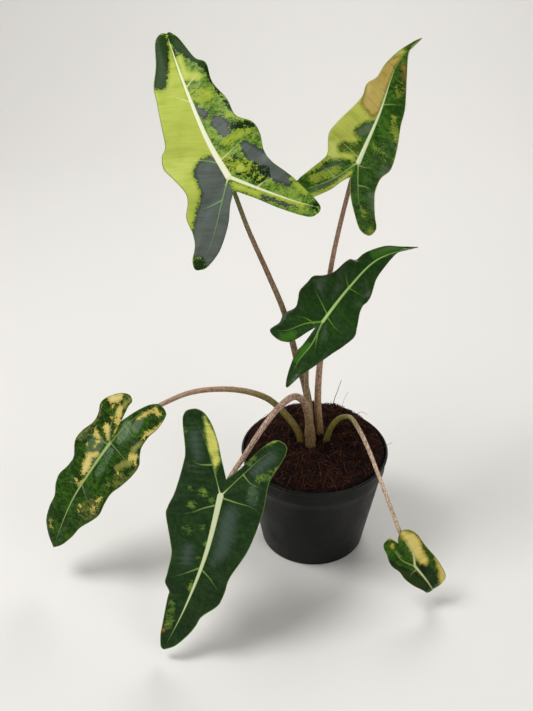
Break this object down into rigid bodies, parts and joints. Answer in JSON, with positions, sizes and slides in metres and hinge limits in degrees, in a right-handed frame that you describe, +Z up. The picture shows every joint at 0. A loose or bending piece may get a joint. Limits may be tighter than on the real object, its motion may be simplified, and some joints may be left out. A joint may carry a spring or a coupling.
{
  "type": "potted sarian alocasia",
  "caption": "Variegated alocasia house plant with arrow-shaped waved leaves on long arching stalks, in a round plastic nursery pot filled with coir mix.",
  "frame": {"origin": "middle of the pot's flat base, on the surface the pot stands on", "axes": "+Z up; the plant's front faces -Y and +X is to the right of someone who faces it"},
  "size_m": [0.3178, 0.2294, 0.4033],
  "materials": {
    "blade_upper_left": "matt, marbled chartreuse and green",
    "blade_upper_right": "matt, golden beige and dark green",
    "blade_middle": "satin green",
    "blade_low_left": "satin dark green with cream patches",
    "blade_front": "satin dark slate green",
    "blade_low_right": "satin cream and green",
    "petiole": "satin, mottled pinkish brown over green and cream",
    "pot": "moulded black plastic",
    "soil": "rough fibrous coir",
    "rhizome": "matt bark"
  },
  "bodies": {
    "root": {"blade_upper_left": "blade_upper_left", "petiole_upper_left": "petiole", "blade_upper_right": "blade_upper_right", "petiole_upper_right": "petiole", "blade_middle": "blade_middle", "petiole_middle": "petiole", "blade_low_left": "blade_low_left", "petiole_low_left": "petiole", "blade_front": "blade_front", "petiole_front": "petiole", "blade_low_right": "blade_low_right", "petiole_low_right": "petiole", "pot": "pot", "soil": "soil", "rhizome": "rhizome"}
  },
  "joints": []
}
